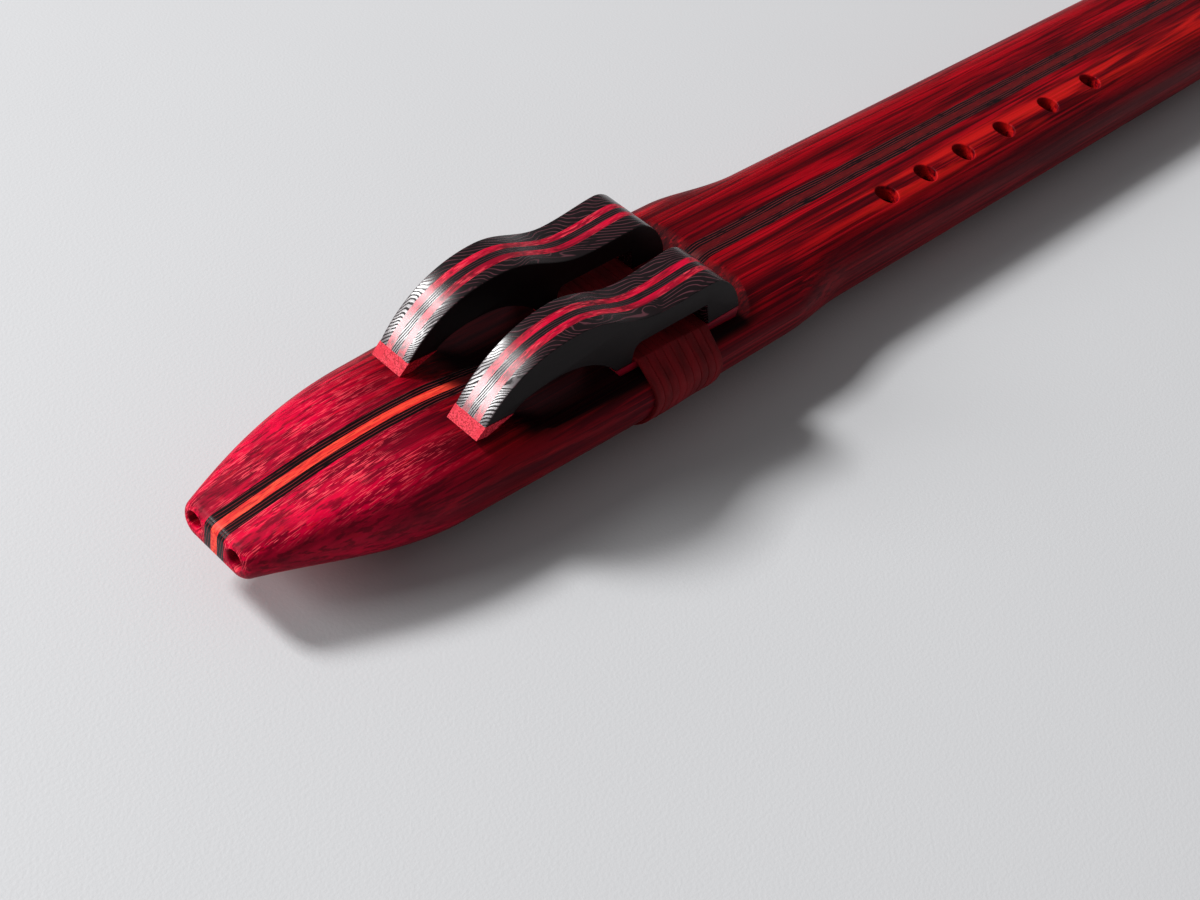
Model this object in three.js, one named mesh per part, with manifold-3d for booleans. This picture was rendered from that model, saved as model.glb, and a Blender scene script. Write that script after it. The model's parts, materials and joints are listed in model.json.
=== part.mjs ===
// A double native american flute, a drone beside a melody pipe in one laminated body.
// Two carved bird blocks stand in a flat nest, and one leather thong ties them down.
// Millimetres. Inside the body +X runs from the mouth end to the foot, +Y is the drone's
// side and +Z is up from the flat underside. The finished group stands on its lowest point.

import * as THREE from 'three';
import { mergeVertices } from 'three/addons/utils/BufferGeometryUtils.js';
import Module from 'manifold-3d';

const wasm = await Module();
wasm.setup();

// Body
const boreDiameter = 20;
const boreRoof = 1.5;
const pipeSpacing = 34;
const sideWall = 4.5;
const noseLength = 68;
const humpRise = 0.6;
const mouthTopDrop = 8.4;
const blowHoleDiameter = 6;
const blowHoleSpacing = 18;
const blowHoleSideWall = 2.6;
const blowHoleRoof = 1.4;
const blowHoleFloor = 3.8;
const mouthRimRound = 2.2;
const footRimRound = 1;
const swellStart = 30;
const swellWidth = 4.8;
const swellLift = 4;
const swellFlat = 8.5;
const swellPeakShare = 0.664;
const waistAfterTail = 24;
const waistLength = 38;
const padaukThickness = 2.8;
const wengeThickness = 2.9;

// Air ways
const chamberRoof = 2.5;
const airChamberStartShare = 0.68;
const plugLength = 23;
const voicingWidth = 10;
const exitHoleLength = 6;
const soundHoleLength = 5.5;
const soundHoleAfterTail = 1;
const flueDepth = 1.2;
const fingerHoleDiameter = 9;
const firstHoleReach = 96;
const holeStepOneToTwo = 24.3;
const holeStepTwoToThree = 25.1;
const holeStepThreeToFour = 28;
const holeStepFourToFive = 32.2;
const holeStepFiveToSix = 32.4;
const footReach = 123;

// Nest
const nestDepth = 4;
const frontRampLength = 40;
const frontRampBeforeToe = 13;
const backRampLength = 9;
const backRampGap = 1.5;
const toeAfterNose = 7;

// Leather tie
const tieTurns = 9;
const tieDiameter = 2.8;
const tiePitch = 3.5;
const tieGap = 0.5;
const tieSideGap = 0.85;

// Birds
const birdLength = 113;
const birdToeWidth = 12.8;
const birdTailWidth = 21.8;
const birdLayer = 2.5;
const toeFootLength = 4.5;
const toeHeight = 8;
const toeTopStart = 3;
const toeTopEnd = 14;
const soleThickness = 3.2;
const soleTailThickness = 4.4;
const soleFrontLean = 2.5;
const archPeakHeight = 14;
const archThickness = 14.3;
const backThickness = 7.5;
const crestRise = 1.7;
const windowHeadroom = 4.4;
const windowRise = 1.6;
const windowLean = 2.9;
const windowCorner = 3;
const slideRange = 1;
const toeClearance = 0.1;

// Places along the bird, and the handles of its curves as shares of each curve's span
const archPeakShare = 0.292;
const archFootShare = 0.505;
const backPeakShare = 0.345;
const saddleShare = 0.646;
const crestShare = 0.85;
const windowStartShare = 0.566;
const riseShares = [[0.2, 0.62], [0.53, 1]];
const dipShares = [[0.35, 0], [0.62, 1]];
const crestShares = [[0.4, 0], [0.72, 1]];
const tailShares = [[0.42, 0], [0.91, 0.55]];
const archBackShares = [[0.19, 0.45], [0.56, 1]];
const archFrontShares = [[0.42, 0], [0.92, 0.42]];

// Fineness of the facets
const overrun = 10;
const quarterSteps = 6;
const noseStations = 9;
const swellStations = 12;
const waistStations = 6;
const rimStations = 3;
const roundSegments = 24;
const curveSegments = 7;
const tieSteps = 24;
const tieSides = 6;
const tieFlatAngle = Math.PI / 180;

// Sizes that follow from the ones above
const pipeY = pipeSpacing / 2;
const bodyHeight = boreDiameter + 2 * (nestDepth + boreRoof);
const glueLevel = bodyHeight / 2;
const nestFloor = bodyHeight - nestDepth;
const chamberWidth = pipeSpacing + boreDiameter + 2 * sideWall;
const bulgeWidth = chamberWidth + 2 * swellWidth;
const mouthWidth = blowHoleSpacing + blowHoleDiameter + 2 * blowHoleSideWall;
const mouthTop = bodyHeight - mouthTopDrop;
const blowLevel = mouthTop - blowHoleRoof - blowHoleDiameter / 2;
const mouthBottom = blowLevel - blowHoleDiameter / 2 - blowHoleFloor;
const padaukFace = padaukThickness / 2;
const wengeFace = padaukFace + wengeThickness;
const birdStart = noseLength + toeAfterNose;
const tailEnd = birdStart + birdLength;
const swellPeak = birdStart + birdLength * swellPeakShare;
const waistStart = tailEnd + waistAfterTail;
const airChamberDiameter = 2 * (nestFloor - chamberRoof - glueLevel);
const airChamberStart = noseLength * airChamberStartShare;
const soundHoleStart = tailEnd + soundHoleAfterTail;
const airChamberEnd = soundHoleStart - plugLength;
const exitHoleStart = airChamberEnd - exitHoleLength;
const fingerHoleSteps = [
  holeStepOneToTwo,
  holeStepTwoToThree,
  holeStepThreeToFour,
  holeStepFourToFive,
  holeStepFiveToSix,
];
const holesLength = fingerHoleSteps.reduce((sum, step) => sum + step, 0);
const bodyLength = soundHoleStart + firstHoleReach + holesLength + footReach;
const rampStart = birdStart - frontRampBeforeToe;
const rampFoot = rampStart + frontRampLength;
const rampTop = bodyHeight + humpRise;
const nestBack = tailEnd + slideRange + backRampGap;
const tieRadius = tieDiameter / 2;
const windowLength = (tieTurns - 1) * tiePitch + tieDiameter + 2 * (slideRange + tieSideGap);
const windowStart = birdLength * windowStartShare;
const windowEnd = windowStart + windowLength;
const windowLowTop = soleThickness + tieGap + tieDiameter + windowHeadroom;
const windowHighTop = windowLowTop + windowRise;
const saddleHeight = windowHighTop + backThickness;
const crestHeight = saddleHeight + crestRise;
const backHeight = archPeakHeight + archThickness;
const tieMiddle = birdStart + windowStart + windowLength / 2;

const looks = {
  crimson: { color: 0x8c1536, roughness: 0.42, metalness: 0 },
  wenge: { color: 0x2a2024, roughness: 0.5, metalness: 0 },
  padauk: { color: 0xc4452a, roughness: 0.42, metalness: 0 },
  leather: { color: 0x572233, roughness: 0.7, metalness: 0 },
};

// Shaping helpers
const clampShare = (value) => THREE.MathUtils.clamp(value, 0, 1);
const smoothShare = (x, from, length) => THREE.MathUtils.smoothstep(x, from, from + length);
const quarterSineShare = (x, length) => Math.sin((Math.PI / 2) * clampShare(x / length));

function solid(geometry) {
  const bare = geometry.index ? geometry.toNonIndexed() : geometry.clone();
  bare.deleteAttribute('normal');
  bare.deleteAttribute('uv');
  const merged = mergeVertices(bare);
  const vertProperties = Float32Array.from(merged.attributes.position.array);
  const triVerts = Uint32Array.from(merged.index.array);
  return new wasm.Manifold(new wasm.Mesh({ numProp: 3, vertProperties, triVerts }));
}

function geometryOf(manifold) {
  const mesh = manifold.getMesh();
  const geometry = new THREE.BufferGeometry();
  geometry.setAttribute('position', new THREE.BufferAttribute(mesh.vertProperties, 3));
  geometry.setIndex(new THREE.BufferAttribute(mesh.triVerts, 1));
  const faceted = geometry.toNonIndexed();
  faceted.computeVertexNormals();
  return faceted;
}

function box([x0, x1], [y0, y1], [z0, z1]) {
  const geometry = new THREE.BoxGeometry(x1 - x0, y1 - y0, z1 - z0);
  geometry.translate((x0 + x1) / 2, (y0 + y1) / 2, (z0 + z1) / 2);
  return solid(geometry);
}

function rod(from, to, diameter) {
  const along = new THREE.Vector3().subVectors(to, from);
  const radius = diameter / 2;
  const geometry = new THREE.CylinderGeometry(radius, radius, along.length(), roundSegments);
  const up = new THREE.Vector3(0, 1, 0);
  geometry.applyQuaternion(new THREE.Quaternion().setFromUnitVectors(up, along.clone().normalize()));
  const middle = new THREE.Vector3().addVectors(from, to).multiplyScalar(0.5);
  geometry.translate(middle.x, middle.y, middle.z);
  return solid(geometry);
}

// A side profile drawn in X and Z, as thick as the space between two Y levels
function sidePrism(shape, y0, y1) {
  const depth = y1 - y0;
  const geometry = new THREE.ExtrudeGeometry(shape, { depth, bevelEnabled: false, curveSegments });
  geometry.rotateX(Math.PI / 2);
  geometry.translate(0, y1, 0);
  return solid(geometry);
}

// A solid skin through rings of points that go round +X the same way
function loft(rings) {
  const count = rings[0].length;
  const positions = rings.flat().flatMap((point) => point.toArray());
  const indices = [];
  for (let i = 0; i + 1 < rings.length; i += 1) {
    for (let j = 0; j < count; j += 1) {
      const here = i * count + j;
      const round = i * count + ((j + 1) % count);
      indices.push(here, round, round + count);
      indices.push(here, round + count, here + count);
    }
  }
  const last = (rings.length - 1) * count;
  for (let j = 1; j + 1 < count; j += 1) {
    indices.push(0, j + 1, j);
    indices.push(last, last + j, last + j + 1);
  }
  const geometry = new THREE.BufferGeometry();
  geometry.setAttribute('position', new THREE.Float32BufferAttribute(positions, 3));
  geometry.setIndex(indices);
  return geometry;
}

// Outline of the body
const swellShare = (x) =>
  smoothShare(x, swellStart, swellPeak - swellStart) * (1 - smoothShare(x, waistStart, waistLength));

function sectionSizes(x) {
  const noseShare = quarterSineShare(x, noseLength);
  const hump = humpRise * (1 - smoothShare(x, birdStart, birdLength));
  const top = mouthTop + (bodyHeight + hump - mouthTop) * noseShare;
  const bottom = mouthBottom * (1 - smoothShare(x, 0, noseLength));
  const swell = swellShare(x);
  const halfWidth =
    mouthWidth / 2 +
    ((chamberWidth - mouthWidth) / 2) * noseShare +
    ((bulgeWidth - chamberWidth) / 2) * swell;
  const widest = (top + bottom) / 2 + swellLift * swell;
  const side = (top - bottom) / 2 + swellFlat * swell;
  return { top, bottom, halfWidth, widest, side };
}

const rimInset = (depth, round) => {
  const left = round * clampShare(1 - depth / round);
  return round - Math.sqrt(round * round - left * left);
};

function sectionRing(x) {
  const { top, bottom, halfWidth, widest, side } = sectionSizes(x);
  const inset = rimInset(x, mouthRimRound) + rimInset(bodyLength - x, footRimRound);
  const flat = halfWidth - side;
  const reach = side - inset;
  const points = [];
  const quarter = (firstStep, sideSign, height) => {
    for (let step = firstStep; step <= firstStep + quarterSteps; step += 1) {
      const angle = (step / quarterSteps) * (Math.PI / 2);
      const y = sideSign * flat + reach * Math.cos(angle);
      points.push(new THREE.Vector3(x, y, widest + height * Math.sin(angle)));
    }
  };
  quarter(0, 1, top - inset - widest);
  quarter(quarterSteps, -1, top - inset - widest);
  points.pop();
  quarter(2 * quarterSteps, -1, widest - bottom - inset);
  quarter(3 * quarterSteps, 1, widest - bottom - inset);
  points.pop();
  return points;
}

function stationsBetween(from, to, count) {
  return Array.from({ length: count }, (_, i) => from + ((to - from) * i) / count);
}

function bodyStations() {
  const rim = Array.from({ length: rimStations }, (_, i) => {
    const angle = ((i / rimStations) * Math.PI) / 2;
    return 1 - Math.cos(angle);
  });
  return [
    ...rim.map((share) => share * mouthRimRound),
    ...stationsBetween(mouthRimRound, noseLength, noseStations),
    ...stationsBetween(noseLength, waistStart, swellStations),
    ...stationsBetween(waistStart, waistStart + waistLength, waistStations),
    waistStart + waistLength,
    ...rim.map((share) => bodyLength - share * footRimRound).reverse(),
  ];
}

// The nest is one flat cut across the body. In front it rolls up to the nose, level at the
// end, and behind it rises in a straight ramp
function nestCut() {
  const high = nestFloor + overrun;
  const shape = new THREE.Shape();
  shape.moveTo(rampFoot, nestFloor);
  shape.lineTo(nestBack, nestFloor);
  shape.lineTo(nestBack + (backRampLength * overrun) / nestDepth, high);
  shape.lineTo(rampStart, high);
  shape.lineTo(rampStart, rampTop);
  shape.quadraticCurveTo((rampStart + rampFoot) / 2, rampTop, rampFoot, nestFloor);
  return sidePrism(shape, -bulgeWidth, bulgeWidth);
}

// One pipe's air ways: blow hole, air chamber, exit hole, flue, sound hole and bore
function airWays(y) {
  const level = (x, height) => new THREE.Vector3(x, y, height);
  const blowY = (Math.sign(y) * blowHoleSpacing) / 2;
  const blowLine = (x) => new THREE.Vector3(x, blowY, blowLevel);
  const across = [y - voicingWidth / 2, y + voicingWidth / 2];
  const upwards = [glueLevel, bodyHeight + overrun];
  const flueUpwards = [nestFloor - flueDepth, nestFloor + flueDepth];
  return [
    rod(blowLine(-overrun), blowLine(airChamberStart + blowHoleDiameter), blowHoleDiameter),
    rod(level(airChamberStart, glueLevel), level(airChamberEnd, glueLevel), airChamberDiameter),
    box([exitHoleStart, airChamberEnd], across, upwards),
    box([exitHoleStart, soundHoleStart + soundHoleLength], across, flueUpwards),
    box([soundHoleStart, soundHoleStart + soundHoleLength], across, upwards),
    rod(level(soundHoleStart, glueLevel), level(bodyLength + overrun, glueLevel), boreDiameter),
  ];
}

function fingerHolePlaces() {
  const places = [soundHoleStart + firstHoleReach];
  for (const step of fingerHoleSteps) places.push(places.at(-1) + step);
  return places;
}

function fingerHoles() {
  return fingerHolePlaces().map((x) => {
    const low = new THREE.Vector3(x, -pipeY, glueLevel);
    const high = new THREE.Vector3(x, -pipeY, bodyHeight + overrun);
    return rod(low, high, fingerHoleDiameter);
  });
}

function carvedBody() {
  let body = solid(loft(bodyStations().map(sectionRing)));
  const cuts = [nestCut(), ...airWays(pipeY), ...airWays(-pipeY), ...fingerHoles()];
  for (const cut of cuts) body = body.subtract(cut);
  return body;
}

function frontRampLevel(x) {
  const downShare = (x - rampStart) / frontRampLength;
  return rampTop - (rampTop - nestFloor) * downShare ** 2;
}

// Bird profiles, with u along the bird from its toe and h up from the nest floor
function curveTo(shape, [u, h], [[u1, h1], [u2, h2]]) {
  const from = shape.currentPoint.clone();
  const across = (share) => from.x + share * (u - from.x);
  const upwards = (share) => from.y + share * (h - from.y);
  shape.bezierCurveTo(across(u1), upwards(h1), across(u2), upwards(h2), u, h);
}

function birdLayerShape() {
  const shape = new THREE.Shape();
  const archFoot = birdLength * archFootShare;
  shape.moveTo(toeTopStart, toeHeight);
  curveTo(shape, [birdLength * backPeakShare, backHeight], riseShares);
  curveTo(shape, [birdLength * saddleShare, saddleHeight], dipShares);
  curveTo(shape, [birdLength * crestShare, crestHeight], crestShares);
  curveTo(shape, [birdLength, soleTailThickness], tailShares);
  shape.lineTo(windowEnd, soleThickness);
  shape.lineTo(windowEnd - windowLean, windowHighTop);
  shape.lineTo(windowStart + windowCorner, windowLowTop);
  shape.quadraticCurveTo(windowStart, windowLowTop, windowStart, windowLowTop - windowCorner);
  shape.lineTo(windowStart, soleThickness);
  shape.lineTo(archFoot, soleThickness);
  curveTo(shape, [birdLength * archPeakShare, archPeakHeight], archBackShares);
  curveTo(shape, [toeTopEnd, toeHeight], archFrontShares);
  shape.closePath();
  return shape;
}

function birdSoleShape() {
  const shape = new THREE.Shape();
  const archFoot = birdLength * archFootShare;
  shape.moveTo(archFoot + soleFrontLean, 0);
  shape.lineTo(birdLength, 0);
  shape.lineTo(birdLength, soleTailThickness);
  shape.lineTo(windowEnd, soleThickness);
  shape.lineTo(archFoot, soleThickness);
  shape.closePath();
  return shape;
}

// The toe clears the ramp by the same little bit when the bird is slid all the way forward
function birdToeShape() {
  const lift = (u) => frontRampLevel(birdStart + u - slideRange) + toeClearance - nestFloor;
  const shape = new THREE.Shape();
  shape.moveTo(0, lift(0));
  shape.lineTo(toeFootLength, lift(toeFootLength));
  shape.lineTo(toeTopEnd, toeHeight);
  shape.lineTo(toeTopStart, toeHeight);
  shape.closePath();
  return shape;
}

const birdHalfWidth = (u) => (birdToeWidth + ((birdTailWidth - birdToeWidth) * u) / birdLength) / 2;

// The bird seen from above widens evenly from its toe to its tail
function birdPlan() {
  const shape = new THREE.Shape();
  const start = -overrun;
  const end = birdLength + overrun;
  shape.moveTo(start, -birdHalfWidth(start));
  shape.lineTo(end, -birdHalfWidth(end));
  shape.lineTo(end, birdHalfWidth(end));
  shape.lineTo(start, birdHalfWidth(start));
  shape.closePath();
  const depth = backHeight + 2 * overrun;
  const geometry = new THREE.ExtrudeGeometry(shape, { depth, bevelEnabled: false });
  geometry.translate(0, 0, -overrun);
  return solid(geometry);
}

// Hand is 1 for the drone's bird and -1 for the melody's, whose inner side is mirrored
function birdPieces(hand) {
  const plan = birdPlan();
  const wide = birdTailWidth;
  const core = birdLayer / 2;
  const red = core + birdLayer;
  const slab = (shape, y0, y1) => geometryOf(sidePrism(shape, y0, y1).intersect(plan));
  const layer = (inner, outer) => {
    const sides = [hand * inner, hand * outer].sort((a, b) => a - b);
    return slab(birdLayerShape(), ...sides);
  };
  return [
    ['inner_cheek', 'wenge', layer(-wide, -red)],
    ['inner_red', 'crimson', layer(-red, -core)],
    ['core', 'wenge', layer(-core, core)],
    ['outer_red', 'crimson', layer(core, red)],
    ['outer_cheek', 'wenge', layer(red, wide)],
    ['sole', 'crimson', slab(birdSoleShape(), -wide, wide)],
    ['toe', 'crimson', slab(birdToeShape(), -wide, wide)],
  ];
}

// The outermost point of body and soles, seen square to the tie from one direction
function girthPoint(x, [across, up]) {
  const { top, bottom, halfWidth, widest, side } = sectionSizes(x);
  const hand = Math.sign(across);
  const height = up > 0 ? top - widest : widest - bottom;
  const spread = Math.hypot(side * across, height * up);
  const flat = halfWidth - side;
  const sideReach = (side * side * across) / spread;
  const onSide = [hand * flat + sideReach, widest + (height * height * up) / spread];
  const riseShare = (nestFloor - widest) / (top - widest);
  const nestEdge = [hand * (flat + side * Math.sqrt(1 - riseShare * riseShare)), nestFloor];
  const soleEdge = [hand * (pipeY + birdHalfWidth(x - birdStart)), nestFloor + soleThickness];
  const skin = onSide[1] > nestFloor ? nestEdge : onSide;
  const reach = ([y, z]) => y * across + z * up;
  return reach(soleEdge) > reach(skin) ? soleEdge : skin;
}

// Half a turn runs from just past straight down to just short of straight up, so that the
// tie lies flat along the body's underside and straight across between the soles
function girthAngle(step) {
  const stepsEachSide = tieSteps / 2;
  const start = tieFlatAngle - Math.PI / 2;
  const between = (Math.PI - 2 * tieFlatAngle) / (stepsEachSide - 1);
  const half = Math.floor(step / stepsEachSide);
  return half * Math.PI + start + (step % stepsEachSide) * between;
}

function tiePath() {
  const places = [];
  const start = tieMiddle - (tieTurns * tiePitch) / 2;
  const offset = tieGap + tieRadius;
  places.push({ point: new THREE.Vector3(start, 0, -offset), out: [0, -1] });
  for (let step = 0; step < tieTurns * tieSteps; step += 1) {
    const turn = (step + 0.5) / tieSteps;
    const angle = girthAngle(step);
    const out = [Math.cos(angle), Math.sin(angle)];
    const x = start + tiePitch * turn;
    const [y, z] = girthPoint(x, out);
    places.push({ point: new THREE.Vector3(x, y + offset * out[0], z + offset * out[1]), out });
  }
  places.push({ point: new THREE.Vector3(start + tieTurns * tiePitch, 0, -offset), out: [0, -1] });
  return places;
}

function leastTieGap(places) {
  let least = Infinity;
  for (let i = 0; i < places.length; i += 1) {
    for (let j = i + tieSteps / 2; j < places.length; j += 1) {
      least = Math.min(least, places[i].point.distanceTo(places[j].point) - tieDiameter);
    }
  }
  return least;
}

function tieGeometry() {
  const places = tiePath();
  console.log(`tie: least gap between turns ${leastTieGap(places).toFixed(2)} mm`);
  const rings = places.map(({ point, out }) =>
    Array.from({ length: tieSides }, (_, side) => {
      const angle = (2 * Math.PI * side) / tieSides;
      const outwards = tieRadius * Math.cos(angle);
      const sideways = tieRadius * Math.sin(angle);
      return point.clone().add(new THREE.Vector3(-sideways, outwards * out[0], outwards * out[1]));
    }),
  );
  return geometryOf(solid(loft(rings)));
}

function piece(name, look, geometry) {
  const mesh = new THREE.Mesh(geometry, new THREE.MeshStandardMaterial(looks[look]));
  mesh.name = name;
  return mesh;
}

function bodyPieces() {
  const body = carvedBody();
  const far = bulgeWidth;
  const slices = [
    ['drone_plank', 'crimson', [wengeFace, far]],
    ['drone_wenge', 'wenge', [padaukFace, wengeFace]],
    ['padauk_strip', 'padauk', [-padaukFace, padaukFace]],
    ['melody_wenge', 'wenge', [-wengeFace, -padaukFace]],
    ['melody_plank', 'crimson', [-far, -wengeFace]],
  ];
  const halves = [
    ['top', [glueLevel, bodyHeight + overrun]],
    ['bottom', [-overrun, glueLevel]],
  ];
  const everyX = [-overrun, bodyLength + overrun];
  return slices.flatMap(([name, look, across]) =>
    halves.map(([half, upwards]) =>
      piece(`${name}_${half}`, look, geometryOf(body.intersect(box(everyX, across, upwards)))),
    ),
  );
}

function bird(name, hand) {
  const group = new THREE.Group();
  group.position.set(birdStart, hand * pipeY, nestFloor);
  for (const [part, look, geometry] of birdPieces(hand)) {
    group.add(piece(`${name}_${part}`, look, geometry));
  }
  return group;
}

const flute = new THREE.Group();
flute.add(...bodyPieces());
flute.add(bird('drone_bird', 1));
flute.add(bird('melody_bird', -1));
flute.add(piece('leather_tie', 'leather', tieGeometry()));

// The origin is the middle of the bounding box's underside
const bounds = new THREE.Box3().setFromObject(flute);
const middle = bounds.getCenter(new THREE.Vector3());
flute.position.set(-middle.x, 0, -bounds.min.z);

export default flute;
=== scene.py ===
# %% [markdown]
# A double native american flute: two pipes side by side in one laminated wooden body, a
# carved bird block over each pipe, and one leather thong that ties both birds down.
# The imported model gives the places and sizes. Each wooden piece and the thong is made
# again here as a finer mesh in the same place, and gets its finish.

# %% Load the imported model
import bpy
import json
import math
from mathutils import Matrix, Vector

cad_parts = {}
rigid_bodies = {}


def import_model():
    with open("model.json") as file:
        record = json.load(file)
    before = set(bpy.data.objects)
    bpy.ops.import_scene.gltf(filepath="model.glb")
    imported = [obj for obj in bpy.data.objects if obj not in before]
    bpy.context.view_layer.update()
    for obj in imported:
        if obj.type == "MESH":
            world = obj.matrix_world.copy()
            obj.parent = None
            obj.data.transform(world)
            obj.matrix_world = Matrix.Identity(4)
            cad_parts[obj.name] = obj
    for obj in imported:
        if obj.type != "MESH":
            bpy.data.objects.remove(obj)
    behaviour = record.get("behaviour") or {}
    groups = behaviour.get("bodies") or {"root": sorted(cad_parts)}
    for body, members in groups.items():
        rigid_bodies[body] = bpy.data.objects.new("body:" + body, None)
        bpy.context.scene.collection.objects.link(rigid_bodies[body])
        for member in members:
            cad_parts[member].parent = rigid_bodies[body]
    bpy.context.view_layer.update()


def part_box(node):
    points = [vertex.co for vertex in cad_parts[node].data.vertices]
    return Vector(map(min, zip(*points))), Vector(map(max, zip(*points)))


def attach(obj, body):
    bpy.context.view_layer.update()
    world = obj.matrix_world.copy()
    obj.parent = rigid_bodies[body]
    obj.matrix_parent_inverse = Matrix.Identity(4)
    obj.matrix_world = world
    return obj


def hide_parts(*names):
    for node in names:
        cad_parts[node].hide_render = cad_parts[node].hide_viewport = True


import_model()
plank_low, plank_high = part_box("drone_plank_bottom")
mouth_x = plank_low.x

# %% [markdown]
# The camera comes first. It looks down on the flute at about 43 degrees from beyond the
# mouth end, on the melody pipe's side, and it is rolled a little, as a hand holds a phone.

# %% Camera
camera_place = (-0.46667, -0.25980, 0.37706)
camera_heading = math.radians(35.823)
camera_fall = math.radians(43.389)
camera_roll = math.radians(12.446)
camera_lens = 50.98
sensor_width = 36
quarter_turn = math.pi / 2

camera_data = bpy.data.cameras.new("camera")
camera_data.sensor_width = sensor_width
camera_data.lens = camera_lens
camera = bpy.data.objects.new("camera", camera_data)
bpy.context.scene.collection.objects.link(camera)
heading = Matrix.Rotation(camera_heading - quarter_turn, 4, "Z")
fall = Matrix.Rotation(quarter_turn - camera_fall, 4, "X")
roll = Matrix.Rotation(camera_roll, 4, "Z")
camera.matrix_world = Matrix.Translation(camera_place) @ heading @ fall @ roll
bpy.context.scene.camera = camera
print("camera looks along", camera.matrix_world.to_3x3() @ Vector((0, 0, -1)))

# %% [markdown]
# A part is easiest to judge under plain light: a pale floor, a soft window lamp and an even
# pale world. The window is on the drone's side, so each bird's shadow falls towards the
# melody side. A second, weaker lamp stands beyond the mouth end, where the birds' front
# slopes mirror it, so that their glossy coat catches a gleam.

# %% Floor, lamps and world
floor_side = 6
lamp_aim = Vector((-0.125, 0, 0.03))
lamp_distance = 5
window_direction = Vector((-0.26, 0.66, 0.70)).normalized()
window_side = 1.1
window_watts = 262
gleam_direction = Vector((-0.745, 0.505, 0.44)).normalized()
gleam_side = 2
gleam_watts = 150
world_colour = (1, 0.97, 0.98, 1)
world_strength = 0.18


def select_only(*objects):
    """Deselects everything, then selects these objects and makes the first one active"""
    bpy.ops.object.select_all(action="DESELECT")
    for each in objects:
        each.select_set(True)
    bpy.context.view_layer.objects.active = objects[0]


def soft_lamp(name, direction, side, watts):
    """A square lamp that looks at the flute's nose from one direction"""
    data = bpy.data.lights.new(name, "AREA")
    data.shape = "SQUARE"
    data.size = side
    data.energy = watts
    lamp = bpy.data.objects.new(name, data)
    bpy.context.scene.collection.objects.link(lamp)
    lamp.location = lamp_aim + direction * lamp_distance
    lamp.rotation_euler = direction.to_track_quat("Z", "Y").to_euler()
    print(name, "at", lamp.location)


bpy.ops.object.select_all(action="DESELECT")
bpy.ops.mesh.primitive_plane_add(size=floor_side)
floor = bpy.context.object
floor.name = "floor"

soft_lamp("window_lamp", window_direction, window_side, window_watts)
soft_lamp("gleam_lamp", gleam_direction, gleam_side, gleam_watts)

world = bpy.data.worlds.new("pale_room")
world.use_nodes = True
background = world.node_tree.nodes["Background"]
background.inputs["Color"].default_value = world_colour
background.inputs["Strength"].default_value = world_strength
bpy.context.scene.world = world
bpy.context.scene.view_settings.view_transform = "Standard"

# %% [markdown]
# Every finish is a small network of nodes. This helper keeps the wiring short: a value
# that is a socket gets linked, and any other value is set on the socket itself.


# %% Helper for finishes
class Finish:
    """One material and the steps that build its nodes"""

    def __init__(self, name):
        self.material = bpy.data.materials.new(name)
        self.material.use_nodes = True
        self.tree = self.material.node_tree
        self.shader = self.tree.nodes["Principled BSDF"]
        self.place = self.add("TexCoord", {}).outputs["Object"]

    def add(self, kind, inputs, **settings):
        """Adds a shader node and fills its sockets, named by label or number"""
        node = self.tree.nodes.new("ShaderNode" + kind)
        for name, value in settings.items():
            setattr(node, name, value)
        for socket, value in inputs.items():
            self.fill(node.inputs[socket], value)
        return node

    def fill(self, socket, value):
        """Links a socket to another one, or sets it to a number or colour"""
        if isinstance(value, bpy.types.NodeSocket):
            self.tree.links.new(value, socket)
        else:
            socket.default_value = value

    def math(self, operation, first, second=0.0):
        """One sum on numbers or sockets"""
        node = self.add("Math", {0: first, 1: second}, operation=operation)
        return node.outputs["Value"]

    def both(self, first, second):
        """Two shares multiplied, so that the result is high only where both are"""
        return self.math("MULTIPLY", first, second)

    def rest(self, share):
        """What a share leaves of 1"""
        return self.math("SUBTRACT", 1.0, share)

    def noise(self, cells, detail=2.0, roughness=0.5, distortion=0.0, seed=0.0):
        """Noise with so many cells per metre along X, Y and Z"""
        shift = (seed, seed, seed)
        spot = self.add("Mapping", {"Vector": self.place, "Scale": cells, "Location": shift})
        inputs = {"Vector": spot.outputs["Vector"], "Scale": 1.0, "Detail": detail}
        inputs.update({"Roughness": roughness, "Distortion": distortion})
        return self.add("TexNoise", inputs).outputs["Fac"]

    def step(self, value, low, high):
        """0 below low, 1 above high and smooth between"""
        inputs = {"Value": value, "From Min": low, "From Max": high}
        return self.add("MapRange", inputs, interpolation_type="SMOOTHSTEP").outputs["Result"]

    def mix(self, share, first, second):
        """Two colours mixed by a share"""
        return self.add("Mix", {0: share, 6: first, 7: second}, data_type="RGBA").outputs[2]

    def axis(self, letter):
        """One coordinate of the place, in metres"""
        return self.add("SeparateXYZ", {"Vector": self.place}).outputs[letter]

    def bump(self, height, depth):
        """Fine relief, as deep as said in metres"""
        node = self.add("Bump", {"Height": height, "Distance": depth, "Strength": 1.0})
        self.give("Normal", node.outputs["Normal"])

    def give(self, socket, value):
        """Gives one of the shader's own sockets a link, a number or a colour"""
        self.fill(self.shader.inputs[socket], value)


def colour(red, green, blue):
    """A colour as the eye sees it, from 0 to 255, turned into the linear value a shader needs"""
    shares = (red / 255, green / 255, blue / 255)
    linear = [((c + 0.055) / 1.055) ** 2.4 if c > 10 / 255 else c / 12.92 for c in shares]
    return (*linear, 1)


# %% [markdown]
# The floor is a painted board, almost without texture. Noise at two scales keeps it from
# looking like a flat fill.

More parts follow.
